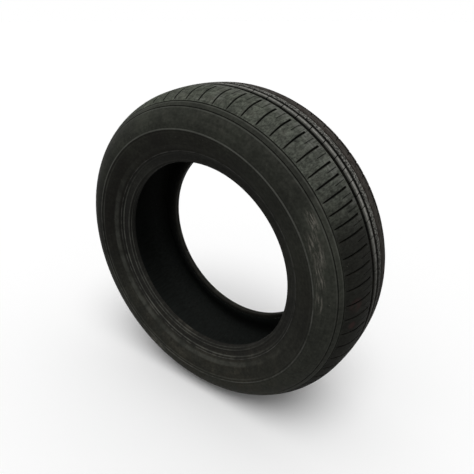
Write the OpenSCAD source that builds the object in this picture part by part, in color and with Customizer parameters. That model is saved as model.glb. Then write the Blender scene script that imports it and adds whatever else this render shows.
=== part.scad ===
// A worn passenger car tyre, off its wheel and standing on its tread.
// The axle line runs along Y, Z is up and the origin is the tyre's centre.
// The shoulder with the long slots is on the -Y side.

/* [Tyre] */
// Diameter over the worn tread
outer_d = 628; // [600:1:760]
// Width over the sidewalls and their raised rings
section_w = 204; // [172:1:245]
// Diameter of the two bead seats, the size of a 15 inch rim
bead_seat_d = 380.2; // [350:0.1:457]
// Distance between the outer faces of the two beads
bead_span = 156; // [140:1:176]
// Width of one bead, from heel to toe
bead_base = 15.5; // [13:0.5:18]
// How far the tread is pressed flat where the tyre stands
flat_sag = 2.4; // [1:0.1:4]

/* [Section] */
// Width of the tread between the two inner shoulder rings
tread_w = 161; // [140:1:168]
// Radius of the crown across the tread
crown_r = 330; // [250:5:600]
// Half width of the crown before the shoulders turn down
crown_half = 40; // [30:1:50]
// Radius of the shoulders across the tread
shoulder_r = 84; // [72:1:110]
// Thickness of the crown, tread included
crown_t = 13; // [11:0.5:16]
// Thickness of the sidewall at its widest place
wall_t = 8; // [6:0.5:11]
// Height of the widest place, as a part of the section height
widest_f = 0.545; // [0.48:0.005:0.6]

/* [Rings] */
// Width of the thin channels that run round the shoulders
shoulder_ring_w = 2; // [1.4:0.1:3]
// Depth of the thin channels
shoulder_ring_depth = 1.1; // [0.6:0.1:1.6]
// Height of the raised rings on the sidewalls
wall_ring_h = 0.9; // [0.5:0.1:1.5]
// Width of the sidewall's raised ring at its top
wall_ring_w = 1.8; // [1:0.1:4]
// Distance of the sidewall's raised ring below the widest place
wall_ring_drop = 5; // [3:0.5:9]
// Distance of the rim line's ring outside the bead seat
rim_line_rise = 22; // [18:1:26]

/* [Grooves] */
// Depth left in the grooves that run round the tread
groove_depth = 6; // [3:0.1:7]
// Place across the tread of the first groove, beside the slotted shoulder
groove_a_y = -11.8; // [-16:0.2:-10]
// Width of the first groove
groove_a_w = 9; // [6:0.2:10]
// Place of the second groove
groove_b_y = 7.8; // [6:0.2:9]
// Width of the second groove
groove_b_w = 8; // [5:0.2:9]
// Place of the third groove
groove_c_y = 25; // [24:0.5:28]
// Width of the third groove
groove_c_w = 4; // [2.6:0.2:5]
// Place of the fourth groove
groove_d_y = 50; // [48:0.5:52]
// Width of the fourth groove
groove_d_w = 6.6; // [4.4:0.2:8]

/* [Blocks] */
// Groups of blocks round the tyre
groups = 4; // [3:1:5]
// Long blocks in a group
long_n = 8; // [6:1:9]
// Short blocks in a group
short_n = 5; // [4:1:6]
// Middle blocks in a group
middle_n = 5; // [4:1:6]
// Length of a short block against a long one
short_f = 0.745; // [0.65:0.005:0.85]
// Length of a middle block against a long one
middle_f = 0.927; // [0.86:0.003:0.96]
// Turn of the first slot from the top, in degrees
first_slot = 0.7; // [0:0.1:3]
// Depth of the slots in the shoulders
slot_depth = 4.6; // [2.5:0.1:5.5]
// Width of a shoulder slot at its closed inner end
slot_w = 3.4; // [2.2:0.1:4]
// Width of a shoulder slot where it runs out
slot_end_w = 2; // [1.2:0.1:2.4]
// Sideways lean of a shoulder slot over its length
slot_lean = 4.5; // [3:0.5:9]
// Land between the first groove and the slots
slot_land = 7; // [6:0.5:12]
// Width of the short cut in the middle of each shoulder block
sipe_w = 0.8; // [0.6:0.1:1.2]
// Length of the short cut
sipe_l = 26; // [18:1:30]
// Width of the notches in the ribs
notch_w = 1.8; // [1:0.1:2]
// Length of the notches that open into the fourth groove
notch_l = 14; // [10:0.5:17]
// Sideways lean of the notches
notch_lean = 4; // [2:0.5:6]

/* [Hidden] */
$fn = 180;

outer_r = outer_d / 2;
bead_r = bead_seat_d / 2;
flat_z = outer_r - flat_sag;
wall_y = section_w / 2 - wall_ring_h;
height = outer_r - bead_r;
widest_r = bead_r + widest_f * height;
over = 6;

// Points of an arc, measured from the axis of symmetry of the section
function arc(c, r, a, b, n) =
    [for (i = [0:n]) let (t = a + (b - a) * i / n) [c[0] + r * sin(t), c[1] + r * cos(t)]];
// Points of a smooth curve after its first point
function curve(a, b, c, d, n) =
    [for (i = [1:n]) let (t = i / n, u = 1 - t)
        u * u * u * a + 3 * u * u * t * b + 3 * u * t * t * c + t * t * t * d];
function flip(p) = [for (i = [len(p) - 1:-1:0]) [-p[i][0], p[i][1]]];
// A step in the outline at p, outwards along n where h is positive
function step(p, n, w, h) = let (t = [n[1], -n[0]]) [p - (w / 2 + 0.4) * t, p - (w / 2) * t + h * n,
    p + (w / 2) * t + h * n, p + (w / 2 + 0.4) * t];

// Crown and shoulder arcs, level with the tread or a depth below it
crown_a = asin(crown_half / crown_r);
crown_c = [0, outer_r - crown_r];
shoulder_c = [crown_half - shoulder_r * sin(crown_a), crown_c[1] + (crown_r - shoulder_r) * cos(crown_a)];
shoulder_a = asin((tread_w / 2 - shoulder_c[0]) / shoulder_r);
function crown_line(depth, last, n) = concat(
    arc(crown_c, crown_r - depth, 0, crown_a, 3),
    [for (i = [1:n]) let (t = crown_a + (last - crown_a) * i / n)
        shoulder_c + (shoulder_r - depth) * [sin(t), cos(t)]]);
function crown_height(y) = crown_c[1] + sqrt(crown_r * crown_r - y * y);

// Sidewall from the shoulder to its widest place, with its two thin channels
edge_n = [sin(shoulder_a), cos(shoulder_a)];
edge_dir = [edge_n[1], -edge_n[0]];
edge = shoulder_c + shoulder_r * edge_n;
reach = (wall_y - edge[0]) / edge_dir[0];
rise = max(3, edge[1] + reach * edge_dir[1] - widest_r);
widest = [wall_y, widest_r];
upper = curve(edge, edge + 0.6 * reach * edge_dir, widest + [0, 0.6 * rise], widest, 9);
ring_dir = (upper[2] - upper[0]) / norm(upper[2] - upper[0]);
upper_wall = concat(
    step(edge, edge_n, shoulder_ring_w - 0.8, -shoulder_ring_depth), [upper[0]],
    step(upper[1], [-ring_dir[1], ring_dir[0]], shoulder_ring_w - 0.8, -shoulder_ring_depth),
    [for (i = [2:8]) upper[i]]);

// Sidewall from its widest place to the bead, with its two raised rings
heel_y = bead_span / 2;
heel_r = 6.5;
rim_line = [heel_y + 5, bead_r + rim_line_rise];
rim_dir = [0.515, 0.857];
fall = widest_r - rim_line[1];
lower = [widest, widest - [0, 0.4 * fall], rim_line + 0.4 * fall * rim_dir, rim_line];
ring_t = wall_ring_drop / (1.2 * fall);
ring_span = (wall_ring_w + 3) / (1.2 * fall);
ring_at = widest - [3 * ring_t * ring_t * (widest[0] - lower[2][0]), wall_ring_drop];
lower_wall = concat(
    step(ring_at, [1, 0], wall_ring_w, section_w / 2 - ring_at[0]),
    [for (i = [1:9]) let (t = i / 10) if (t > ring_t + ring_span)
        (1 - t) ^ 3 * lower[0] + 3 * (1 - t) ^ 2 * t * lower[1] + 3 * (1 - t) * t * t * lower[2] + t ^ 3 * lower[3]],
    step(rim_line, [rim_dir[1], -rim_dir[0]], 1.4, wall_ring_h));
flank = curve(rim_line, rim_line - [3.2, 5], [heel_y, bead_r + 16], [heel_y, bead_r + 12], 4);
heel = arc([heel_y - heel_r, bead_r + heel_r], heel_r, 90, 180, 4);

// Inside of the tyre, from the toe of the bead to the crown
toe_y = heel_y - bead_base;
toe = [[toe_y + 1.5, bead_r], [toe_y, bead_r + 1.8]];
inner_widest = [wall_y - wall_t, widest_r];
inner_drop = inner_widest[1] - toe[1][1];
inner_lower = curve(toe[1], toe[1] + [4, 0.42 * inner_drop], inner_widest - [0, 0.3 * inner_drop],
    inner_widest, 9);
inner_top = [0, outer_r - crown_t];
// Above the widest place it is the outer outline moved inwards, by crown_t at the tread and wall_t at the widest
inner_wall = [for (i = [8:-1:1]) let (t = upper[i] - (i > 1 ? upper[i - 2] : edge), n = [-t[1], t[0]] / norm(t),
    p = upper[i - 1] - (crown_t + (wall_t - crown_t) * i / 9) * n)
    if (p[0] < inner_widest[0] - 0.5 && p[1] > inner_widest[1] + 0.5) p];
inner_crown = crown_line(crown_t, shoulder_a, 4);
inner_upper = concat(inner_wall, [for (i = [len(inner_crown) - 1:-1:1]) inner_crown[i]]);

tread_half = crown_line(0, shoulder_a, 5);
outer_half = concat([for (i = [1:len(tread_half) - 2]) tread_half[i]], upper_wall, lower_wall, flank, heel, toe);
inner_half = [for (p = concat(inner_lower, inner_upper)) if (p[0] > 0.01) p];

// Sizes of the blocks
group_n = long_n + short_n + middle_n;
group_a = 360 / groups;
long_a = group_a / (long_n + short_n * short_f + middle_n * middle_f);
function block_a(k) = k < long_n ? long_a : k < long_n + short_n ? long_a * short_f : long_a * middle_f;
function start_a(k) = long_a * (min(k, long_n)
    + short_f * min(max(k - long_n, 0), short_n)
    + middle_f * max(k - long_n - short_n, 0));

module place(g, k, part) {
    rotate([0, first_slot + g * group_a + start_a(k) + part * block_a(k), 0]) children();
}

// The outline of the tyre cut through beside its axle
module section() {
    difference() {
        polygon(concat(flip(outer_half), [[0, outer_r]], outer_half, inner_half, [inner_top], flip(inner_half)));
        groove(groove_a_y, groove_a_w);
        groove(groove_b_y, groove_b_w);
        groove(groove_c_y, groove_c_w);
        groove(groove_d_y, groove_d_w);
    }
}

// A groove round the tread, a little narrower at its floor
module groove(y, w) {
    floor_r = crown_height(y) - groove_depth;
    polygon([[y - w / 2 + 0.5, floor_r], [y + w / 2 - 0.5, floor_r],
        [y + w / 2 + 0.7, outer_r + over], [y - w / 2 - 0.7, outer_r + over]]);
}

// The layer of tread that the shoulder slots go down through
module tread_layer() {
    low = crown_line(slot_depth, shoulder_a - 9, 3);
    line = concat(low, [[edge[0] + 4, edge[1]], [edge[0] + 4, outer_r + over]]);
    rotate([90, 0, 0]) rotate_extrude()
        rotate([0, 0, -90]) polygon(concat(flip(line), [for (i = [1:len(line) - 1]) line[i]]));
}

// Plan of a shoulder slot: closed and round at its inner end, narrower outwards
module slot_plan(y0, y1, lean) {
    d = y1 > y0 ? 1 : -1;
    w = slot_w / 2;
    e = slot_end_w / 2;
    mid = (y0 + y1) / 2;
    polygon(concat(
        [for (a = [0:60:180]) [w * cos(a), y0 - d * w * sin(a)]],
        [[0.4 * lean - (w + e) / 2, mid], [lean - e, y1], [lean + e, y1], [0.4 * lean + (w + e) / 2, mid]]));
}

// A straight thin cut that leans, down to a level floor
module thin_cut(y0, y1, w, lean) {
    low = crown_height((y0 + y1) / 2) - slot_depth;
    translate([0, 0, low]) linear_extrude(outer_r + over - low)
        polygon([[-w / 2, y0], [w / 2, y0], [lean + w / 2, y1], [lean - w / 2, y1]]);
}

module shoulder_slots() {
    near_slot = groove_a_y - groove_a_w / 2 - slot_land - slot_w / 2;
    far_slot = groove_d_y + groove_d_w / 2 + slot_land / 2 + slot_w / 2;
    for (g = [0:groups - 1]) for (k = [0:group_n - 1]) place(g, k, 0)
        translate([0, 0, outer_r - 40]) linear_extrude(40 + over) {
            slot_plan(near_slot, -edge[0] - 3, slot_lean);
            slot_plan(far_slot, edge[0] + 3, -slot_lean / 2);
        }
}

module rib_cuts() {
    sipe_y = groove_a_y - groove_a_w / 2 - slot_land / 2;
    for (g = [0:groups - 1]) for (k = [0:group_n - 1]) {
        place(g, k, 0) {
            thin_cut(groove_a_y, groove_b_y, notch_w, -notch_lean);
            thin_cut(groove_d_y, groove_d_y - notch_l, notch_w, notch_lean);
        }
        place(g, k, 0.5) thin_cut(sipe_y, sipe_y - sipe_l, sipe_w, slot_lean / 3);
    }
}

module tyre() {
    color([0.16, 0.16, 0.15]) difference() {
        rotate([90, 0, 0]) rotate_extrude() rotate([0, 0, -90]) section();
        intersection() {
            tread_layer();
            shoulder_slots();
        }
        rib_cuts();
        translate([-outer_r / 2, -section_w / 2, -flat_z - outer_r / 4])
            cube([outer_r, section_w, outer_r / 4]);
    }
}

tyre();
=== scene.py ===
import bpy
import bmesh
import math
import numpy as np
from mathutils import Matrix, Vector


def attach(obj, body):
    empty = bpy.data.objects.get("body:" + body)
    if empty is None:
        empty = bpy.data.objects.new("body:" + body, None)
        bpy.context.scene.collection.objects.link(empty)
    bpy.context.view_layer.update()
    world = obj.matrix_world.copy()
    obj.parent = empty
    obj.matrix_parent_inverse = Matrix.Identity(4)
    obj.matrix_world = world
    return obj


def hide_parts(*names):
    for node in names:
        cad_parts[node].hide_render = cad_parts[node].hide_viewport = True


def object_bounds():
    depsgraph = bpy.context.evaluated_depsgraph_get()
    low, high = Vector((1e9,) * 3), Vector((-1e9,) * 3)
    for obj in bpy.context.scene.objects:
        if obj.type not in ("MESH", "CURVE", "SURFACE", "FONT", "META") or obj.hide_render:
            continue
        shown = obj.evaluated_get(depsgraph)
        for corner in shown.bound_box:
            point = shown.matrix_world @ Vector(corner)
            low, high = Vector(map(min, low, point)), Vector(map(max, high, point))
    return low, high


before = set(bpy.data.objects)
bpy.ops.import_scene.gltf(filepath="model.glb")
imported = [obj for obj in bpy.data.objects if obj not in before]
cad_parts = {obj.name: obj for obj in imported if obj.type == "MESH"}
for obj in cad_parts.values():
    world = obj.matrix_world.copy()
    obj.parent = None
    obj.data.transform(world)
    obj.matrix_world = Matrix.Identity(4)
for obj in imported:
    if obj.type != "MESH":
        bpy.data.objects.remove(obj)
cadLow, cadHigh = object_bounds()
mm = 0.001
print("frame loaded", [round(v, 4) for v in cadLow], [round(v, 4) for v in cadHigh])

# the tyre's sizes in millimetres; pulls say how far a curve follows the direction it starts or ends in
tyreSizes = {
    "outerR": 314.0,
    "sectionW": 204.0,
    "beadR": 190.1,
    "beadSpan": 156.0,
    "beadBase": 15.5,
    "treadW": 161.0,
    "crownR": 330.0,
    "crownHalf": 40.0,
    "shoulderR": 84.0,
    "crownT": 13.0,
    "wallT": 8.0,
    "widestPart": 0.545,  # height of the widest place, as part of the way from bead to tread
    "upperPull": 0.6,
    "lowerPull": 0.4,
    "channelDepth": 1.1,  # thin channels round the shoulders
    "channelTop": 2.0,
    "channelFloor": 1.2,
    "secondChannel": 2 / 9,  # part of the upper wall
    "wallRingH": 0.9,
    "wallRingW": 1.8,
    "wallRingFoot": 0.4,  # slope on each side of it
    "wallRingDrop": 5.0,
    "rimLineRise": 22.0,
    "rimLineOut": 5.0,
    "rimLineDir": (0.515, 0.857),
    "rimRingFoot": 2.2,
    "rimRingTop": 1.4,
    "flankPull": (3.2, 5.0),
    "flankHeights": (16.0, 12.0),
    "seatLineDepth": 0.35,  # fine moulded lines above and below the heel
    "seatLineTop": 1.4,
    "seatLineFloor": 0.4,
    "heelR": 6.5,
    "toeBevel": (1.5, 1.8),
    "innerPull": (4.0, 0.42, 0.3),  # across and up from the toe, then down from the widest place
    "flatSag": 2.4,
}

# the pattern cut into the tread: grooves as (place across, width), the rest in millimetres
treadPattern = {
    "grooves": {"a": (-11.8, 9.0), "b": (7.8, 8.0), "c": (25.0, 4.0), "d": (50.0, 6.6)},
    "grooveDepth": 6.0,
    "slotDepth": 4.6,
    "slotW": 3.4,
    "slotEndW": 2.0,
    "slotLean": 4.5,
    "slotLand": 7.0,
    "slotLead": 4.2,  # a cell begins this far before its slot
    "slotPast": 3.0,  # a slot narrows and leans until this far past the tread's edge
    "runOutAngle": 9.0,  # degrees before the edge where a slot begins to get shallow
    "runOutPast": 4.0,
    "sipeHalfW": 0.55,
    "sipeL": 26.0,
    "sipePart": 0.9,  # depth, as part of the slot's
    "notchW": 1.8,
    "notchL": 14.0,
    "notchLean": 4.0,
    "notchPast": 0.6,  # how far a notch reaches into the grooves at its ends
    "bevel": 0.55,  # worn edge of every block
    "bevelDrop": 0.28,
    "grooveSlope": 0.5,
    "slotSlope": 0.25,
    "columns": (0.27, 0.5, 0.77),  # places along a block, with the sipe in the middle one
}

# how the blocks follow each other round the tyre
blockRun = {
    "groups": 4,
    "long": 8,
    "short": 5,
    "middle": 5,
    "shortPart": 0.745,
    "middlePart": 0.927,
    "firstSlot": 0.7,
}


def vec(a, b):
    return np.array([a, b], float)


def bezier(p, t):
    u = 1 - t
    return u ** 3 * p[0] + 3 * u * u * t * p[1] + 3 * u * t * t * p[2] + t ** 3 * p[3]


def curvePoints(p, n):
    return [bezier(p, i / n) for i in range(n + 1)]


def arcPoints(centre, radius, a, b, n):
    steps = [a + (b - a) * i / n for i in range(n + 1)]
    return [centre + radius * vec(math.sin(t), math.cos(t)) for t in steps]


# outer outline of one half, from the crown down to the toe, as points of (across, radius)
z = tyreSizes
crownA = math.asin(z["crownHalf"] / z["crownR"])
crownC = vec(0, z["outerR"] - z["crownR"])
shoulderC = crownC + (z["crownR"] - z["shoulderR"]) * vec(math.sin(crownA), math.cos(crownA))
shoulderA = math.asin((z["treadW"] / 2 - shoulderC[0]) / z["shoulderR"])
edgeN = vec(math.sin(shoulderA), math.cos(shoulderA))
edge = shoulderC + z["shoulderR"] * edgeN
edgeDir = vec(edgeN[1], -edgeN[0])
wallY = z["sectionW"] / 2 - z["wallRingH"]
widest = vec(wallY, z["beadR"] + z["widestPart"] * (z["outerR"] - z["beadR"]))
reach = (wallY - edge[0]) / edgeDir[0]
rise = edge[1] + reach * edgeDir[1] - widest[1]
pull = z["upperPull"]
upperWall = [edge, edge + pull * reach * edgeDir, widest + vec(0, pull * rise), widest]
heelY = z["beadSpan"] / 2
heelR = z["heelR"]
rimLine = vec(heelY + z["rimLineOut"], z["beadR"] + z["rimLineRise"])
pull = z["lowerPull"] * (widest[1] - rimLine[1])
lowerWall = [widest, widest - vec(0, pull), rimLine + pull * vec(*z["rimLineDir"]), rimLine]
flank = [rimLine, rimLine - vec(*z["flankPull"])]
flank += [vec(heelY, z["beadR"] + height) for height in z["flankHeights"]]
toeY = heelY - z["beadBase"]

stretches = [
    ("crown", arcPoints(crownC, z["crownR"], 0, crownA, 24)),
    ("edge", arcPoints(shoulderC, z["shoulderR"], crownA, shoulderA, 30)),
    ("widest", curvePoints(upperWall, 40)),
    ("rimLine", curvePoints(lowerWall, 40)),
    ("flank", curvePoints(flank, 16)),
    ("heel", arcPoints(vec(heelY - heelR, z["beadR"] + heelR), heelR, math.pi / 2, math.pi, 12)),
    ("seat", [vec(toeY + z["toeBevel"][0], z["beadR"])]),
    ("toe", [vec(toeY, z["beadR"] + z["toeBevel"][1])]),
]
outline = [stretches[0][1][0]]
reached = {}
for name, points in stretches:
    for p in points:
        if np.hypot(*(p - outline[-1])) > 1e-6:
            outline.append(p)
    reached[name] = len(outline) - 1
outline = np.array(outline)
outlineS = np.concatenate([[0], np.cumsum(np.hypot(*np.diff(outline, axis=0).T))])
tangent = np.gradient(outline, outlineS, axis=0)
outlineN = np.stack([-tangent[:, 1], tangent[:, 0]], -1)
outlineN /= np.hypot(outlineN[:, 0], outlineN[:, 1])[:, None]
place = {name: outlineS[i] for name, i in reached.items()}
channelB = bezier(upperWall, z["secondChannel"])
place["channelB"] = outlineS[np.argmin(np.hypot(*(outline - channelB).T))]
wallPart = slice(reached["widest"], reached["rimLine"])
ringR = widest[1] - z["wallRingDrop"]
place["wallRing"] = np.interp(-ringR, -outline[wallPart, 1], outlineS[wallPart])


def outlineAt(s):
    p = vec(np.interp(s, outlineS, outline[:, 0]), np.interp(s, outlineS, outline[:, 1]))
    n = vec(np.interp(s, outlineS, outlineN[:, 0]), np.interp(s, outlineS, outlineN[:, 1]))
    return p, n / math.hypot(n[0], n[1])


def outlineOfY(y):
    top = reached["widest"]
    return np.interp(abs(y), outline[:top, 0], outlineS[:top])


# places across the tread where the slots, sipes and notches begin and end
q = treadPattern
grooveY = {k: v[0] for k, v in q["grooves"].items()}
grooveEdge = {k: (v[0] - v[1] / 2, v[0] + v[1] / 2) for k, v in q["grooves"].items()}
nearStart = grooveEdge["a"][0] - q["slotLand"]
nearCap = nearStart - q["slotW"] / 2
farStart = grooveEdge["d"][1] + q["slotLand"] / 2
farCap = farStart + q["slotW"] / 2
slotEnd = edge[0] + q["slotPast"]
treadEnd = edge[0] - 1.2  # the outermost tread rows
sipeStart = grooveEdge["a"][0] - q["slotLand"] / 2
sipeEnd = sipeStart - q["sipeL"]
notchEnd = grooveY["d"] - q["notchL"]


def slotPart(y):
    # 0 at a slot's round inner end, 1 where it runs out over the shoulder
    cap = nearCap if y < 0 else farCap
    return min(1, max(0, (abs(y) - abs(cap)) / (slotEnd - abs(cap))))


def slotDepthAt(y):
    angle = math.asin((abs(y) - shoulderC[0]) / z["shoulderR"]) if abs(y) > z["crownHalf"] else 0
    runOut = shoulderA - math.radians(q["runOutAngle"])
    if angle <= runOut:
        return q["slotDepth"]
    n = vec(math.sin(angle), math.cos(angle))
    a = shoulderC + (z["shoulderR"] - q["slotDepth"]) * vec(math.sin(runOut), math.cos(runOut))
    line = edge + vec(q["runOutPast"], 0) - a
    c = shoulderC - a
    level = -(c[0] * line[1] - c[1] * line[0]) / (n[0] * line[1] - n[1] * line[0])
    return max(0, z["shoulderR"] - level)


def cutAt(y):
    # depth and width of the cross cut at this place across the tread
    if y <= nearStart or y >= farStart:
        cap = nearCap if y < 0 else farCap
        into = abs(cap) - abs(y)
        w = q["slotW"] + (q["slotEndW"] - q["slotW"]) * slotPart(y)
        if into > 0:
            w = 2 * math.sqrt(max(0.1, (q["slotW"] / 2) ** 2 - into ** 2))
        return slotDepthAt(y), w
    onSecondRib = grooveEdge["a"][1] - q["notchPast"] <= y <= grooveEdge["b"][0] + q["notchPast"]
    onFourthRib = notchEnd <= y <= grooveEdge["d"][0] + q["notchPast"]
    return (q["slotDepth"] if onSecondRib or onFourthRib else 0), q["notchW"]


def bend(part):
    # a slot leans a little more in its outer half
    return 0.8 * part if part < 0.5 else 0.4 + 1.2 * (part - 0.5)


def slotShift(y):
    if y <= nearCap:
        return q["slotLean"] * bend(slotPart(y))
    if y >= farCap:
        return -q["slotLean"] / 2 * bend(slotPart(y))
    stations = [nearCap, grooveY["a"], grooveY["b"], notchEnd, grooveY["d"], farCap]
    shifts = [0, 0, -q["notchLean"], q["notchLean"], 0, 0]
    return float(np.interp(y, stations, shifts))


def sipeShift(y):
    if y >= sipeStart:
        return 0.5 * slotShift(y)
    part = min(1, (sipeStart - y) / q["sipeL"])
    return q["slotLean"] / 3 * part + 0.6 * max(0, slotShift(y) - slotShift(max(y, sipeEnd)))


# rows across the tread, as place: depth of the groove there
treadRows = {}
for y, w in q["grooves"].values():
    for side in (-1, 1):
        treadRows[y + side * (w / 2 + q["bevel"])] = 0
        treadRows[y + side * w / 2] = q["bevelDrop"]
        treadRows[y + side * (w / 2 - q["grooveSlope"])] = q["grooveDepth"]
# rows that follow the round inner end of a slot, and the ends of the sipe and the notch
for start, side in ((nearStart, -1), (farStart, 1)):
    for into in (-0.25, 0.1, 0.55, q["slotW"] / 2):
        treadRows[start + side * into] = 0
for y in (sipeStart + 0.2, sipeStart - 0.1, sipeEnd + 0.1, sipeEnd - 0.2, notchEnd - 0.2, notchEnd + 0.1):
    treadRows[y] = 0
# plain rows between the cuts: from, to, how many
for a, b, n in (
    (-treadEnd, sipeEnd - 1.5, 8),
    (sipeEnd + 2, nearCap - 2, 4),
    (grooveEdge["a"][1] + 3, grooveEdge["b"][0] - 3, 2),
    (grooveEdge["b"][1] + 3, grooveEdge["c"][0] - 3, 2),
    (grooveEdge["c"][1] + 3, notchEnd - 3, 2),
    (notchEnd + 4, grooveEdge["d"][0] - 3, 2),
    (farCap + 2, treadEnd, 6),
):
    for y in np.linspace(a, b, n):
        treadRows[float(y)] = 0


# rows down a shoulder, a sidewall and a bead, as (distance along the outline, height)
def ridge(foot, top, height):
    # a raised ring, or a channel where the height is below 0
    return [(-foot / 2, 0), (-top / 2, height), (top / 2, height), (foot / 2, 0)]


def rowsAt(start, shape):
    return [(start + away, height) for away, height in shape]


def plainRows(a, b, n):
    return [(s, 0) for s in np.linspace(a, b, n)]


channel = ridge(z["channelTop"], z["channelFloor"], -z["channelDepth"])
ringRise = z["sectionW"] / 2 - outlineAt(place["wallRing"])[0][0]
wallRing = ridge(z["wallRingW"] + 2 * z["wallRingFoot"], z["wallRingW"], ringRise)
rimRing = ridge(z["rimRingFoot"], z["rimRingTop"], 0.75 * z["wallRingH"]) + [(0, z["wallRingH"])]
seatLine = ridge(z["seatLineTop"], z["seatLineFloor"], -z["seatLineDepth"])
sideRows = rowsAt(place["edge"], channel) + rowsAt(place["channelB"], channel)
sideRows += [((place["edge"] + place["channelB"]) / 2, 0)]
sideRows += plainRows(place["channelB"] + 3, place["wallRing"] - 3.5, 9)
sideRows += rowsAt(place["wallRing"], wallRing)
sideRows += plainRows(place["wallRing"] + 4, place["rimLine"] - 4, 8)
sideRows += rowsAt(place["rimLine"], rimRing)
sideRows += plainRows(place["rimLine"] + 3, place["flank"], 4)
sideRows += rowsAt(place["flank"] + 3, seatLine)
sideRows += plainRows(place["flank"] + 5.6, place["heel"], 5)
sideRows += rowsAt(place["heel"] + 3.5, seatLine)
sideRows += [(place["seat"], 0), (place["toe"], 0)]
sideRows.sort()

# inside of the tyre from a toe to the crown
toeTip = outline[-1]
innerWidest = vec(wallY - z["wallT"], widest[1])
innerDrop = innerWidest[1] - toeTip[1]
toeOut, toeUp, wallDown = z["innerPull"]
innerLower = [toeTip, toeTip + vec(toeOut, toeUp * innerDrop)]
innerLower += [innerWidest - vec(0, wallDown * innerDrop), innerWidest]
innerRows = 9  # on each of the three stretches
innerHalf = curvePoints(innerLower, innerRows)[1:]
for s in np.linspace(place["widest"], place["edge"], innerRows)[1:]:
    p, n = outlineAt(s)
    part = (s - place["edge"]) / (place["widest"] - place["edge"])
    innerHalf.append(p - (z["crownT"] + (z["wallT"] - z["crownT"]) * part) * n)
for s in np.linspace(place["edge"], 0, innerRows)[1:]:
    p, n = outlineAt(s)
    innerHalf.append(p - z["crownT"] * n)
innerHalf[-1] = vec(0, z["outerR"] - z["crownT"])
print("outline ready,", len(treadRows), "tread rows,", len(sideRows), "rows on each side")

# one cell of the tyre: a slot, half a block, a sipe and the other half, all the way round the section
zones = {"tread": 0.0, "shoulder": 1.0, "wall": 2.0, "bead": 3.0, "inside": 4.0}
coarseOf = [0, 7, 9, 12]  # fine columns that carry on over the sidewalls
lineDepth = 5  # depth that gives a line on a sidewall the value 1
insideEnd = 0.3  # inside, the place only runs from 0 to this, so patterns are drawn out across it
cell = {"rows": [], "points": [], "faces": [], "shift": [], "deep": [], "wear": [], "along": [], "zone": []}


def addRow(columns, along, zone):
    # columns: (part of the block, shift round the tyre, across, radius, depth, wear)
    first = len(cell["points"])
    for part, shift, across, radius, deep, wear in columns:
        cell["points"].append((part, across * mm, radius * mm))
        cell["shift"].append(shift * mm)
        cell["deep"].append(deep)
        cell["wear"].append(wear)
        cell["along"].append(along * mm)
        cell["zone"].append(zone)
    cell["rows"].append([first + i for i in range(len(columns))])


def coarseRow(p, shifts, along, zone, wear=0.0, deep=0.0):
    parts = (0, *q["columns"][:2], 1)
    addRow([(a, b, p[0], p[1], deep, wear) for a, b in zip(parts, shifts)], along, zone)


def endShifts(y):
    a, b = slotShift(y), sipeShift(y)
    return (a - q["slotLead"], (a + b) / 2, b, a - q["slotLead"])


def sideZone(s):
    if s > place["rimLine"] - 2:
        return zones["bead"]
    return zones["wall"] if s > place["channelB"] + 1.5 else zones["shoulder"]


def sideOf(sign):
    shifts = endShifts(sign * treadEnd)
    rows = sideRows if sign > 0 else sideRows[::-1]
    for s, h in rows:
        p, n = outlineAt(s)
        at = p + h * n
        at[0] = min(at[0], z["sectionW"] / 2)
        wear = 1.0 if h > 0.1 else 0.0
        coarseRow(vec(sign * at[0], at[1]), shifts, sign * s, sideZone(s), wear, max(0, -h) / lineDepth)


def treadRow(y, sunk):
    s = float(outlineOfY(y))
    p, n = outlineAt(s)
    sign = 1 if y > 0 else -1
    cutDepth, w = cutAt(y)
    a, b = slotShift(y), sipeShift(y)
    cut = cutDepth > sunk + 0.5
    sipe = q["slotDepth"] * q["sipePart"] if sipeEnd <= y <= sipeStart else 0
    onEdge = 1.0 if sunk == q["bevelDrop"] else 0.0
    brink, lip, drop = (0.5, 1.0, q["bevelDrop"]) if cut else (onEdge, onEdge, 0)
    bottom = max(0, cutDepth - sunk) if cut else 0
    sipeLip = 0.6 if sipe else onEdge
    half = w / 2
    floorHalf = max(0.1, half - q["slotSlope"])
    early, middle, late = q["columns"]
    spread = [
        (0, a - q["slotLead"], 0, onEdge),
        (0, a - half - q["bevel"], 0, brink),
        (0, a - half, drop, lip),
        (0, a - floorHalf, bottom, 0),
        (0, a + floorHalf, bottom, 0),
        (0, a + half, drop, lip),
        (0, a + half + q["bevel"], 0, brink),
        (early, (a + b) / 2, 0, onEdge),
        (middle, b - q["sipeHalfW"], 0, sipeLip),
        (middle, b, max(0, sipe - sunk), 0),
        (middle, b + q["sipeHalfW"], 0, sipeLip),
        (late, (a + b) / 2, 0, onEdge),
        (1, a - q["slotLead"], 0, onEdge),
    ]
    columns = []
    for part, shift, depth, wear in spread:
        at = p - depth * n - vec(0, sunk)
        columns.append((part, shift, sign * at[0], at[1], (depth + sunk) / q["grooveDepth"], wear))
    addRow(columns, sign * s, zones["tread"])


sideOf(-1)
for y in sorted(treadRows):
    treadRow(y, treadRows[y])
sideOf(1)
nearEnd, farEnd = endShifts(-treadEnd), endShifts(treadEnd)
innerLoop = innerHalf + [vec(-p[0], p[1]) for p in innerHalf[-2::-1]]
for i, p in enumerate(innerLoop):
    part = (i + 1) / (len(innerLoop) + 1)
    shifts = [f + (n - f) * part for n, f in zip(nearEnd, farEnd)]
    coarseRow(p, shifts, insideEnd * part, zones["inside"])

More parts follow.
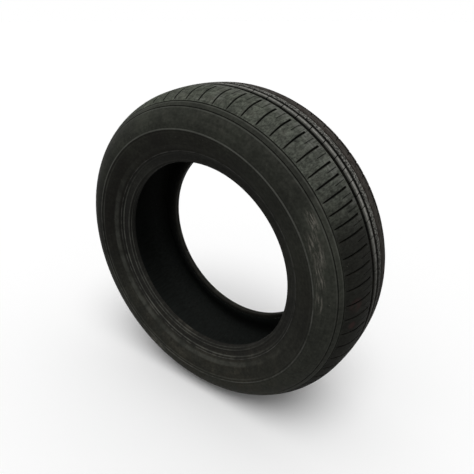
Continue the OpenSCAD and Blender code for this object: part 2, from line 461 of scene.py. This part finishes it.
rows = cell["rows"]
for k, low in enumerate(rows):
    high = rows[(k + 1) % len(rows)]
    if len(low) == len(high):
        for i in range(len(low) - 1):
            cell["faces"].append((low[i], low[i + 1], high[i + 1], high[i]))
        continue
    fine, coarse = (low, high) if len(low) > len(high) else (high, low)
    for j in range(3):
        a, b = coarseOf[j], coarseOf[j + 1]
        middle = (a + b) // 2
        fan = [(fine[i], fine[i + 1], coarse[j]) for i in range(a, middle)]
        fan += [(fine[middle], coarse[j + 1], coarse[j])]
        fan += [(fine[i], fine[i + 1], coarse[j + 1]) for i in range(middle, b)]
        cell["faces"] += fan if fine is low else [f[::-1] for f in fan]
print("cell of", len(cell["points"]), "points and", len(cell["faces"]), "faces")

cellMesh = bpy.data.meshes.new("tyreCell")
cellMesh.from_pydata(cell["points"], [], cell["faces"])
for name in ("shift", "deep", "wear", "along", "zone"):
    layer = cellMesh.attributes.new(name, "FLOAT", "POINT")
    layer.data.foreach_set("value", cell[name])
cellMesh.update()
cellObject = bpy.data.objects.new("tyreCell", cellMesh)
bpy.context.scene.collection.objects.link(cellObject)


# a node tree and short ways to put nodes in it, for the tyre's shape, its rubber, the floor and the world
class Tree:
    def __init__(self, tree):
        self.tree = tree
        self.link = tree.links.new

    def node(self, kind, **settings):
        made = self.tree.nodes.new(kind)
        for key, value in settings.items():
            setattr(made, key, value)
        return made

    def put(self, socket, value):
        if isinstance(value, bpy.types.NodeSocket):
            self.link(value, socket)
        elif value is not None:
            socket.default_value = value

    def math(self, what, a, b=None, c=None):
        made = self.node("ShaderNodeMath", operation=what)
        for socket, value in zip(made.inputs, (a, b, c)):
            self.put(socket, value)
        return made.outputs[0]

    def chain(self, what, values):
        result = values[0]
        for value in values[1:]:
            result = self.math(what, result, value)
        return result

    def times(self, *values):
        return self.chain("MULTIPLY", values)

    def add(self, *values):
        return self.chain("ADD", values)

    def minus(self, *values):
        return self.chain("SUBTRACT", values)

    def greatest(self, *values):
        return self.chain("MAXIMUM", values)

    def xyz(self, x, y, w):
        made = self.node("ShaderNodeCombineXYZ")
        for socket, value in zip(made.inputs, (x, y, w)):
            self.put(socket, value)
        return made.outputs[0]


def namedField(t, name):
    made = t.node("GeometryNodeInputNamedAttribute", data_type="FLOAT")
    made.inputs["Name"].default_value = name
    return made.outputs["Attribute"]


# Geometry Nodes: the cell is repeated, given its length, and bent round the axle
def tyreTree():
    group = bpy.data.node_groups.new("tyreRound", "GeometryNodeTree")
    face = group.interface
    face.new_socket("Cell", in_out="INPUT", socket_type="NodeSocketGeometry")
    for name in ("Groups", "Long Blocks", "Short Blocks", "Middle Blocks"):
        face.new_socket(name, in_out="INPUT", socket_type="NodeSocketInt")
    for name in ("Short Part", "Middle Part", "First Slot", "Tread Radius", "Flat Height", "Weld"):
        face.new_socket(name, in_out="INPUT", socket_type="NodeSocketFloat")
    face.new_socket("Rubber", in_out="INPUT", socket_type="NodeSocketMaterial")
    face.new_socket("Tyre", in_out="OUTPUT", socket_type="NodeSocketGeometry")
    t = Tree(group)
    given = t.node("NodeGroupInput").outputs
    result = t.node("NodeGroupOutput").inputs
    longs, shorts, middles = given["Long Blocks"], given["Short Blocks"], given["Middle Blocks"]
    shortPart, middlePart = given["Short Part"], given["Middle Part"]

    # a numbered point for each cell
    perGroup = t.add(longs, shorts, middles)
    points = t.node("GeometryNodePoints")
    t.link(t.times(perGroup, given["Groups"]), points.inputs["Count"])
    count = t.node("GeometryNodeStoreNamedAttribute", data_type="FLOAT", domain="POINT")
    count.inputs["Name"].default_value = "cellNumber"
    t.link(points.outputs[0], count.inputs["Geometry"])
    t.link(t.node("GeometryNodeInputIndex").outputs[0], count.inputs["Value"])
    spread = t.node("GeometryNodeInstanceOnPoints")
    t.link(count.outputs[0], spread.inputs["Points"])
    t.link(given["Cell"], spread.inputs["Instance"])
    real = t.node("GeometryNodeRealizeInstances")
    t.link(spread.outputs[0], real.inputs[0])

    # where the cell begins and how long it is, both counted in long blocks
    number = namedField(t, "cellNumber")
    groupNo = t.math("FLOOR", t.math("DIVIDE", t.add(number, 0.5), perGroup))
    inGroup = t.math("ROUND", t.minus(number, t.times(groupNo, perGroup)))
    pastLong = t.greatest(t.minus(inGroup, longs), 0.0)
    shortDone = t.math("MINIMUM", pastLong, shorts)
    middleDone = t.minus(pastLong, shortDone)
    longDone = t.math("MINIMUM", inGroup, longs)
    wholeSum = t.add(longs, t.times(shorts, shortPart), t.times(middles, middlePart))
    groupAngle = t.math("DIVIDE", 2 * math.pi, given["Groups"])
    longAngle = t.math("DIVIDE", groupAngle, wholeSum)
    before = t.math("MULTIPLY_ADD", shortDone, shortPart, longDone)
    before = t.add(before, t.times(middleDone, middlePart))
    isLong = t.math("LESS_THAN", inGroup, t.minus(longs, 0.5))
    isMiddle = t.math("GREATER_THAN", inGroup, t.minus(t.add(longs, shorts), 0.5))
    isShort = t.minus(1.0, isLong, isMiddle)
    length = t.math("MULTIPLY_ADD", isShort, shortPart, isLong)
    length = t.math("MULTIPLY_ADD", isMiddle, middlePart, length)

    # bent round the axle, with the flat spot below
    split = t.node("ShaderNodeSeparateXYZ")
    t.link(t.node("GeometryNodeInputPosition").outputs[0], split.inputs[0])
    turned = t.math("MULTIPLY_ADD", split.outputs[0], length, before)
    angle = t.math("MULTIPLY_ADD", turned, longAngle, t.times(groupNo, groupAngle))
    angle = t.add(angle, given["First Slot"])
    angle = t.add(angle, t.math("DIVIDE", namedField(t, "shift"), given["Tread Radius"]))
    x = t.times(split.outputs[2], t.math("SINE", angle))
    up = t.times(split.outputs[2], t.math("COSINE", angle))
    up = t.greatest(up, t.times(given["Flat Height"], -1.0))
    bent = t.node("GeometryNodeSetPosition")
    t.link(real.outputs[0], bent.inputs["Geometry"])
    t.link(t.xyz(x, split.outputs[1], up), bent.inputs["Position"])
    weld = t.node("GeometryNodeMergeByDistance")
    t.link(bent.outputs[0], weld.inputs["Geometry"])
    t.link(given["Weld"], weld.inputs["Distance"])
    tidy = t.node("GeometryNodeRealizeInstances")
    t.link(weld.outputs[0], tidy.inputs[0])
    paint = t.node("GeometryNodeSetMaterial")
    t.link(tidy.outputs[0], paint.inputs["Geometry"])
    t.link(given["Rubber"], paint.inputs["Material"])
    t.link(paint.outputs[0], result[0])
    return group


def setInput(modifier, name, value):
    for item in modifier.node_group.interface.items_tree:
        if item.name == name and item.in_out == "INPUT":
            modifier[item.identifier] = value
            return


weldReach = 0.02  # points closer than this become one
sharpAngle = 42  # degrees, above which an edge stays sharp
emptyArea = 1e-10  # square metres
rubber = bpy.data.materials.new("wornRubber")
roundTyre = cellObject.modifiers.new("tyreRound", "NODES")
roundTyre.node_group = tyreTree()
for name, value in (
    ("Groups", blockRun["groups"]),
    ("Long Blocks", blockRun["long"]),
    ("Short Blocks", blockRun["short"]),
    ("Middle Blocks", blockRun["middle"]),
    ("Short Part", blockRun["shortPart"]),
    ("Middle Part", blockRun["middlePart"]),
    ("First Slot", math.radians(blockRun["firstSlot"])),
    ("Tread Radius", z["outerR"] * mm),
    ("Flat Height", (z["outerR"] - z["flatSag"]) * mm),
    ("Weld", weldReach * mm),
    ("Rubber", rubber),
):
    setInput(roundTyre, name, value)
graph = bpy.context.evaluated_depsgraph_get()
tyreMesh = bpy.data.meshes.new_from_object(cellObject.evaluated_get(graph))
tyreMesh.name = "wornTyre"
cellObject.modifiers.clear()
bpy.data.objects.remove(cellObject)
tyreMesh.shade_smooth()
tyreMesh.set_sharp_from_angle(angle=math.radians(sharpAngle))
tyre = bpy.data.objects.new("wornTyre", tyreMesh)
bpy.context.scene.collection.objects.link(tyre)
check = bmesh.new()
check.from_mesh(tyreMesh)
openEdges = sum(1 for e in check.edges if len(e.link_faces) != 2)
thinFaces = sum(1 for f in check.faces if f.calc_area() < emptyArea)
triangles = sum(len(f.verts) - 2 for f in check.faces)
volume = round(check.calc_volume(signed=True) * 1e6, 1)
check.free()
print("tyre:", triangles, "triangles,", openEdges, "open edges,", thinFaces, "empty faces,", volume, "cm3")
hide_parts("tyre")
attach(tyre, "root")

# worn rubber: every layer below is made from the tyre's own coordinates and point attributes
rubberLook = {
    "tread": (0.060, 0.0645, 0.0535),
    "wall": (0.0250, 0.0262, 0.0216),
    "lowerWall": (0.0115, 0.0106, 0.0089),  # painted shade inside the raised ring
    "bead": (0.0165, 0.0163, 0.0145),
    "inside": (0.0092, 0.0098, 0.0090),
    "insideSheen": (0.0900, 0.1060, 0.0990),
    "greyFilmAndLight": (0.043, 0.048, 0.036),  # film on the upper parts, also painted light from above
    "earth": (0.027, 0.0235, 0.0175),  # dirt towards the ground and in the cuts
    "darkDirtAndShade": (0.0080, 0.0076, 0.0066),
    "packedDirtAndShade": (0.0045, 0.0045, 0.004),
    "dust": (0.110, 0.108, 0.090),
    "worn": (0.140, 0.142, 0.130),  # rubbed block edges and rings
    "ribHighlight": (0.215, 0.211, 0.196),
    "rib": (0.060, 0.0585, 0.054),
    "ribPits": (0.014, 0.0135, 0.0125),
    "farRib": (0.036, 0.0290, 0.0250),
    "redDirt": (0.075, 0.034, 0.024),
    "maroon": (0.040, 0.0195, 0.0185),
    "scuff": (0.165, 0.156, 0.134),
    "ringHighlight": (0.095, 0.098, 0.086),  # painted highlights on the raised ring, the channel lips and the rings beside the bead
}
# gloss; roughness before the layers, at least and at most; the bump's strength and its depth in metres
rubberSurface = {"specular": 0.04, "rough": (0.66, 0.32, 0.97), "bump": (0.55, 0.0006)}
# millimetres across from the crown line where a part begins to show and shows fully, then ends the same way
acrossPlaces = {
    "blocks": (-15.0, -17.5),
    "blockEnds": (-40.0, -22.0, -17.5, -15.5),
    "ribs": (-13.5, -11.8),
    "ribHighlightLine": (-5.2, -3.0, 0.8, 2.6),
    "thirdRib": (10.0, 12.0, 23.0, 24.5),
    "farRibs": (26.0, 28.0),
}
# metres above the axle where a layer begins and where it is full
heights = {
    "ringShade": (-0.12, 0.10),
    "leftShade": (-0.2, 0.0),
    "litUpperRight": (0.04, 0.14),
    "upperFilmAndLight": (-0.10, 0.24),
    "earth": (-0.05, -0.30),
    "blocksDark": (0.22, 0.11),
    "ribsDark": (0.17, 0.0),
    "litFromAbove": (-0.02, 0.16),
    "insideSheen": (0.06, -0.16),
}
# reddish dirt: degrees from the top, millimetres from the crown line, reach
redPatches = {
    "block": (87, -62, 17),
    "blockLow": (94, -64, 10),
    "edge": (84, 62, 32),
    "edgeLow": (102, 56, 30),
}
# scuffs on the near sidewall: degrees from the top, millimetres from the crown line, length, width
scuffs = {
    "broad": (66, 117, 38, 15),
    "middle": (75, 121, 30, 11),
    "lower": (85, 125, 26, 9),
    "faint": (57, 106, 24, 9),
    "back": (205, 122, 30, 12),
}
# painted highlights on the rings beside the bead: millimetres from the crown line, half width, soft edge,
# strength
beadRingHighlights = {
    "broad": (168, 2.4, 4.0, 0.35),
    "rim": (183.6, 0.7, 0.8, 0.8),
    "inner": (197, 0.5, 0.8, 0.7),
    "heel": (203, 0.5, 0.8, 0.6),
    "faint": (139, 0.6, 1.4, 0.35),
}

rubber.use_nodes = True
t = Tree(rubber.node_tree)
times, add, minus, greatest = t.times, t.add, t.minus, t.greatest
shader = rubber.node_tree.nodes["Principled BSDF"]
shader.inputs["Specular IOR Level"].default_value = rubberSurface["specular"]


def attribute(name):
    return t.node("ShaderNodeAttribute", attribute_name=name).outputs["Fac"]


def noise(at, scale, detail=4, rough=0.6, distort=0.0):
    made = t.node("ShaderNodeTexNoise")
    t.link(at, made.inputs["Vector"])
    made.inputs["Scale"].default_value = scale
    made.inputs["Detail"].default_value = detail
    made.inputs["Roughness"].default_value = rough
    made.inputs["Distortion"].default_value = distort
    return made.outputs["Fac"]


def grains(scale):
    made = t.node("ShaderNodeTexVoronoi", feature="F1")
    t.link(here, made.inputs["Vector"])
    made.inputs["Scale"].default_value = scale
    return made.outputs["Distance"]


def step(value, low, high, outLow=0.0, outHigh=1.0):
    made = t.node("ShaderNodeMapRange", interpolation_type="SMOOTHSTEP")
    for socket, given in zip(made.inputs, (value, low, high, outLow, outHigh)):
        t.put(socket, given)
    return made.outputs[0]


def absolute(value):
    return t.math("ABSOLUTE", value)


def mix(part, a, b, how="MIX"):
    made = t.node("ShaderNodeMix", data_type="RGBA", blend_type=how)
    t.put(made.inputs["Factor"], part)
    for socket, given in ((made.inputs[6], a), (made.inputs[7], b)):
        t.put(socket, (*given, 1) if isinstance(given, tuple) else given)
    return made.outputs[2]


def mixValue(part, a, b):
    made = t.node("ShaderNodeMix", data_type="FLOAT")
    for socket, given in zip((made.inputs[0], made.inputs[2], made.inputs[3]), (part, a, b)):
        t.put(socket, given)
    return made.outputs[0]


here = t.node("ShaderNodeTexCoord").outputs["Object"]
apart = t.node("ShaderNodeSeparateXYZ")
t.link(here, apart.inputs[0])
px, pz = apart.outputs[0], apart.outputs[2]
deep, wear, along, zone = (attribute(name) for name in ("deep", "wear", "along", "zone"))
facing = t.node("ShaderNodeSeparateXYZ")
t.link(t.node("ShaderNodeNewGeometry").outputs["Normal"], facing.inputs[0])
upward = facing.outputs[2]


def drawnOut(scaleX, scaleAcross, detail, rough, scaleZ=None, distort=0.0):
    # noise drawn out round the tyre, or across it where the scale across is the smaller one
    space = t.xyz(times(px, scaleX), times(along, scaleAcross), times(pz, scaleZ or scaleX))
    return noise(space, 1.0, detail, rough, distort)


def byHeight(name, *out):
    return step(pz, *heights[name], *out)


def across(name):
    places = [v * mm for v in acrossPlaces[name]]
    begins = step(along, *places[:2])
    return times(begins, step(along, places[3], places[2])) if len(places) == 4 else begins


def ringBand(distance, half, soft):
    away = absolute(minus(fromCrown, float(distance) * mm))
    return step(away, (half + soft) * mm, half * mm)


def awayFrom(angle, distance):
    # metres from the spot at these degrees from the top and millimetres from the crown line
    p = outlineAt(abs(distance))[0]
    turn = math.radians(angle)
    made = t.node("ShaderNodeVectorMath", operation="DISTANCE")
    t.link(here, made.inputs[0])
    spot = (p[1] * math.sin(turn), math.copysign(p[0], distance), p[1] * math.cos(turn))
    made.inputs[1].default_value = [v * mm for v in spot]
    return made.outputs["Value"]


# patterns and places that the layers share
streak = drawnOut(3.0, 420.0, 5, 0.62)
broadStreak = drawnOut(5.0, 90.0, 4, 0.55)
fibre = drawnOut(160.0, 22.0, 3, 0.6)
treadLines = drawnOut(420.0, 30.0, 3, 0.6)
endLines = drawnOut(260.0, 14.0, 3, 0.62)
farLines = drawnOut(70.0, 700.0, 3, 0.6)
acrossLines = drawnOut(190.0, 5.0, 3, 0.65)
crumbs = drawnOut(95.0, 330.0, 5, 0.75, 38.0, 0.15)
mottle = noise(here, 7.0, 6, 0.6, 0.3)
grime = noise(here, 38.0, 6, 0.65, 0.4)
fine = noise(here, 210.0, 4, 0.6)
grain = noise(here, 1400.0, 2, 0.5)
speckle = noise(here, 330.0, 3, 0.7)
onTread = step(zone, 0.85, 0.35)
onWall = times(step(zone, 0.5, 1.2), step(zone, 3.3, 2.8))
onBead = times(step(zone, 2.5, 2.9), step(zone, 3.9, 3.4))
onInside = step(zone, 3.4, 3.9)
onBlocks = times(onTread, across("blocks"))
onRibs = times(across("ribs"), onTread)
onFarRibs = times(across("farRibs"), onTread)
sunk = step(deep, 0.05, 0.32)
notSunk = step(sunk, 1.0, 0.0)
fromCrown = absolute(along)
look = rubberLook

# bare rubber, with painted shade inside the raised ring, less of it at the upper right where the light
# falls, and more painted shade on the left
colour = mix(onBead, mix(onTread, look["wall"], look["tread"]), look["bead"])
ringS, rimS = (float(place[name]) * mm for name in ("wallRing", "rimLine"))
insideRing = step(fromCrown, ringS - 0.001, ringS + 0.002)
insideRing = times(insideRing, step(fromCrown, rimS + 0.004, rimS - 0.004))
# less painted shade at the upper right, where the light falls
litUpperRight = times(step(px, 0.02, 0.14), byHeight("litUpperRight"))
# painted shade: the wall inside the raised ring is darkened, more near the top than near the bottom
ringShade = times(insideRing, onWall, byHeight("ringShade", 0.45, 0.9), mixValue(litUpperRight, 1.0, 0.35))
colour = mix(ringShade, colour, look["lowerWall"])
colour = mix(onInside, colour, look["inside"])
# painted shade: the left part of the wall is darkened, from the middle height upwards
leftShade = times(onWall, step(px, -0.14, -0.27), byHeight("leftShade"))
colour = mix(times(leftShade, 0.75), colour, look["darkDirtAndShade"])

# grey film over the upper parts, which also paints the light that falls on them from above; earth towards
# the ground
upperFilmAndLight = times(byHeight("upperFilmAndLight"), step(mottle, 0.38, 0.66), add(0.25, times(onTread, 0.3)))
colour = mix(times(upperFilmAndLight, step(onInside, 1.0, 0.0, 0.25, 1.0)), colour, look["greyFilmAndLight"])
low = times(byHeight("earth"), step(grime, 0.35, 0.7))
colour = mix(times(low, step(onInside, 0.6, 0.0), 0.65), colour, look["earth"])

# each pattern makes the rubber a little darker here and lighter there
blotch = step(noise(here, 95.0, 6, 0.74, 0.3), 0.34, 0.66, 0.68, 1.36)
tone = times(
    step(mottle, 0.25, 0.75, 0.74, 1.28),
    mixValue(onTread, 1.0, blotch),
    step(fine, 0.25, 0.75, 0.80, 1.22),
    mixValue(onWall, 1.0, step(fibre, 0.3, 0.7, 0.86, 1.17)),
    step(streak, 0.3, 0.7, 0.88, 1.13),
    mixValue(onTread, 1.0, step(treadLines, 0.34, 0.66, 0.66, 1.36)),
)
toneColour = t.node("ShaderNodeCombineColor")
for socket in toneColour.inputs:
    t.link(tone, socket)
colour = mix(1.0, colour, toneColour.outputs[0], "MULTIPLY")

# dust lies in patches on what faces up and gathers in the streaks
dustPart = times(step(grime, 0.46, 0.78), step(upward, -0.3, 0.9), step(broadStreak, 0.3, 0.7))
dustPart = times(dustPart, step(onInside, 0.0, 1.0, 0.5, 0.04), minus(1.0, times(sunk, 0.6)))
colour = mix(dustPart, colour, look["dust"])

# rubbed edges, patches and block ends
wornPart = times(wear, step(grime, 0.34, 0.62), add(0.35, times(onTread, 0.45)))
colour = mix(times(wornPart, mixValue(onBlocks, 1.0, 0.3)), colour, look["worn"])
patch = times(onTread, step(noise(here, 24.0, 3, 0.5), 0.56, 0.7), notSunk, step(streak, 0.42, 0.6))
colour = mix(times(patch, 0.45), colour, look["worn"])
blockEnd = times(across("blockEnds"), notSunk, onTread)
colour = mix(times(blockEnd, step(endLines, 0.44, 0.60), 0.55), colour, look["worn"])

# the ribs: a painted highlight line on the second, a third speckled with painted glints and dark pits, and
# brown ones beyond
colour = mix(times(onRibs, 0.55), colour, look["rib"])
# painted highlight along the second rib
ribHighlightLine = times(across("ribHighlightLine"), onRibs, step(fine, 0.36, 0.6, 0.35, 1.0))
colour = mix(ribHighlightLine, colour, look["ribHighlight"])
thirdRib = across("thirdRib")
# painted glints on the third rib
colour = mix(times(thirdRib, step(speckle, 0.50, 0.60)), colour, look["ribHighlight"])
colour = mix(times(thirdRib, step(speckle, 0.48, 0.40)), colour, look["ribPits"])
colour = mix(times(onFarRibs, step(grime, 0.3, 0.62, 0.62, 1.0)), colour, look["farRib"])
farPale = times(onFarRibs, step(farLines, 0.54, 0.62), step(grime, 0.35, 0.6), 0.5)
colour = mix(farPale, colour, look["worn"])
colour = mix(times(onFarRibs, step(farLines, 0.50, 0.42), 0.85), colour, look["darkDirtAndShade"])

# the tread gets darker towards the floor, the blocks sooner than the ribs: partly ground dirt, partly
# painted shade
floorwardDirtAndShade = mixValue(onRibs, times(byHeight("blocksDark"), 0.88), times(byHeight("ribsDark"), 0.72))
colour = mix(times(onTread, floorwardDirtAndShade), colour, look["darkDirtAndShade"])
redSpots = [step(awayFrom(a, s), reach * mm, reach * 0.3 * mm) for a, s, reach in redPatches.values()]
redPart = times(greatest(*redSpots), onTread, step(grime, 0.34, 0.52))
colour = mix(times(redPart, 0.55), colour, look["maroon"])

# cuts and sidewall channels are dark with packed dirt and painted shade, and so are the block lips beside
# them; redder in the third groove
cutDirtAndShade = mix(times(step(grime, 0.4, 0.62), 0.3), look["packedDirtAndShade"], look["earth"])
thirdS = float(outlineOfY(grooveY["c"])) * mm
thirdGroove = step(absolute(minus(along, thirdS)), 0.0034, 0.0022)
cutDirtAndShade = mix(times(thirdGroove, step(fine, 0.35, 0.6), 0.8), cutDirtAndShade, look["redDirt"])
lipDirtAndShade = times(onBlocks, step(wear, 0.35, 0.85), 0.85)
# painted shade together with packed dirt in the cuts and channels and on the block lips
colour = mix(greatest(times(sunk, 0.94), lipDirtAndShade), colour, cutDirtAndShade)

# painted highlights on the rings beside the bead, strongest towards the lower left
towardsLowerLeft = step(minus(times(px, -0.7), times(pz, 0.7)), -0.05, 0.14, 0.16, 1.0)
rings = [times(ringBand(s, half, soft), amount) for s, half, soft, amount in beadRingHighlights.values()]
ringHighlightPart = times(greatest(*rings), towardsLowerLeft, step(grime, 0.32, 0.62, 0.3, 1.0), step(onInside, 0.5, 0.0))
colour = mix(ringHighlightPart, colour, look["ringHighlight"])

# painted highlights on the raised ring and the lips of the two channels, brighter over the top and fading
# towards the ground
litFromAbove = byHeight("litFromAbove")
ringHighlight = times(ringBand(place["wallRing"], 0.7, 1.1), mixValue(litFromAbove, 0.08, 0.55))
lipHighlights = greatest(*[ringBand(place[name] + 1.9, 0.6, 1.2) for name in ("edge", "channelB")])
lipHighlights = times(lipHighlights, mixValue(litFromAbove, 0.12, 0.42), step(grime, 0.3, 0.6, 0.35, 1.0))
colour = mix(greatest(ringHighlight, lipHighlights), colour, look["ringHighlight"])

# a faint grey-green painted highlight inside, the sheen of the inner liner on its lower part, drawn out
# across the tyre
innerSheen = times(onInside, byHeight("insideSheen"), step(acrossLines, 0.3, 0.68, 0.45, 1.0))
colour = mix(times(innerSheen, 0.15), colour, look["insideSheen"])


# rubbed patches on the sidewall
def scuffed(angle, distance, length, width):
    lengthwise = step(awayFrom(angle, -distance), length * mm, length * 0.25 * mm)
    return times(lengthwise, step(absolute(add(along, distance * mm)), width * mm, width * 0.3 * mm))


scuffPart = greatest(*[scuffed(*sizes) for sizes in scuffs.values()])
scuffPart = times(scuffPart, step(crumbs, 0.44, 0.62))
colour = mix(times(scuffPart, 0.75), colour, look["scuff"])
speck = times(step(grains(95.0), 0.09, 0.045), step(grime, 0.5, 0.6))
colour = mix(times(speck, 0.6), colour, look["dust"])
t.link(colour, shader.inputs["Base Color"])

plainRough, leastRough, mostRough = rubberSurface["rough"]
rough = add(plainRough, times(onTread, 0.2), times(minus(mottle, 0.5), 0.35))
rough = add(rough, times(minus(streak, 0.5), 0.22), times(dustPart, 0.25))
rough = add(rough, times(scuffPart, 0.2), times(sunk, 0.2), times(onInside, -0.1))
t.link(t.math("MINIMUM", greatest(rough, leastRough), mostRough), shader.inputs["Roughness"])

lineUp = add(times(streak, 0.5), times(grime, 0.5))
height = add(times(grain, 0.18), times(fine, 0.3), times(lineUp, 0.9), times(scuffPart, -0.5))
bump = t.node("ShaderNodeBump")
bump.inputs["Strength"].default_value, bump.inputs["Distance"].default_value = rubberSurface["bump"]
t.link(height, bump.inputs["Height"])
t.link(bump.outputs[0], shader.inputs["Normal"])
print("rubber ready,", len(rubber.node_tree.nodes), "nodes")

# a pale floor and a white world; tones and strengths from 0 to 1
studio = {
    "floorR": 40,
    "floorLit": 0.42,  # tone of the floor for the light it gives back to the tyre
    "floorSeen": 0.97,
    "floorRough": 0.9,
    "skySide": 0.42,
    "skyTop": 0.45,  # added overhead
}
bpy.ops.mesh.primitive_circle_add(
    vertices=96, radius=studio["floorR"], fill_type="NGON", location=(0, 0, cadLow.z)
)
floor = bpy.context.object
floor.name = "floor"
pale = bpy.data.materials.new("paleFloor")
pale.use_nodes = True
ground = Tree(pale.node_tree)
paleShader = pale.node_tree.nodes["Principled BSDF"]
paleShader.inputs["Roughness"].default_value = studio["floorRough"]
paleShader.inputs["Specular IOR Level"].default_value = 0.0


def seenDirectly(tree):
    rays = tree.node("ShaderNodeLightPath").outputs
    return tree.greatest(rays["Is Camera Ray"], rays["Is Glossy Ray"], rays["Is Transmission Ray"])


floorTone = ground.node("ShaderNodeMix", data_type="RGBA")
ground.put(floorTone.inputs["Factor"], seenDirectly(ground))
for socket, name in ((floorTone.inputs[6], "floorLit"), (floorTone.inputs[7], "floorSeen")):
    socket.default_value = (studio[name], studio[name], studio[name], 1)
ground.link(floorTone.outputs[2], paleShader.inputs["Base Color"])
floor.data.materials.append(pale)

# the world is white to look at, and lights from overhead more than from the sides
world = bpy.data.worlds.new("studio")
bpy.context.scene.world = world
world.use_nodes = True
sky = Tree(world.node_tree)
back = world.node_tree.nodes["Background"]
back.inputs[0].default_value = (1, 1, 1, 1)
upSky = sky.node("ShaderNodeSeparateXYZ")
sky.link(sky.node("ShaderNodeTexCoord").outputs["Generated"], upSky.inputs[0])
high = sky.greatest(upSky.outputs[2], 0.0)
soft = sky.math("MULTIPLY_ADD", sky.times(high, high), studio["skyTop"], studio["skySide"])
shown = seenDirectly(sky)
sky.put(back.inputs[1], sky.add(sky.times(sky.minus(1.0, shown), soft), shown))

# one soft lamp: the direction its light comes from, softness in degrees, strength
lampLook = {"source": (0.26, -0.27, 0.93), "softness": 38, "strength": 1.35}
lamp = bpy.data.lights.new("high", "SUN")
lamp.energy = lampLook["strength"]
lamp.angle = math.radians(lampLook["softness"])
holder = bpy.data.objects.new("high", lamp)
bpy.context.scene.collection.objects.link(holder)
source = Vector(lampLook["source"])
holder.location = source * 3
holder.rotation_mode = "QUATERNION"
holder.rotation_quaternion = source.to_track_quat("Z", "Y")

# camera: degrees round from the near side and up from level, metres from the tyre's centre, lens in mm
view = {
    "azimuth": 37.22,
    "elevation": 27.43,
    "distance": 0.9228,
    "lens": 34.46,
    "shiftX": 0.0277,
    "shiftY": 0.0187,
}
azimuth, elevation = math.radians(view["azimuth"]), math.radians(view["elevation"])
level = math.cos(elevation)
out = Vector((math.sin(azimuth) * level, -math.cos(azimuth) * level, math.sin(elevation)))
cameraData = bpy.data.cameras.new("camera")
camera = bpy.data.objects.new("camera", cameraData)
bpy.context.scene.collection.objects.link(camera)
camera.location = out * view["distance"]
camera.rotation_mode = "QUATERNION"
camera.rotation_quaternion = (-out).to_track_quat("-Z", "Y")
cameraData.sensor_width = 36
cameraData.lens = view["lens"]
cameraData.shift_x = view["shiftX"]
cameraData.shift_y = view["shiftY"]
cameraData.clip_start = 0.02
cameraData.clip_end = 50
bpy.context.scene.camera = camera
bpy.context.scene.view_settings.view_transform = "Standard"
print("studio ready")
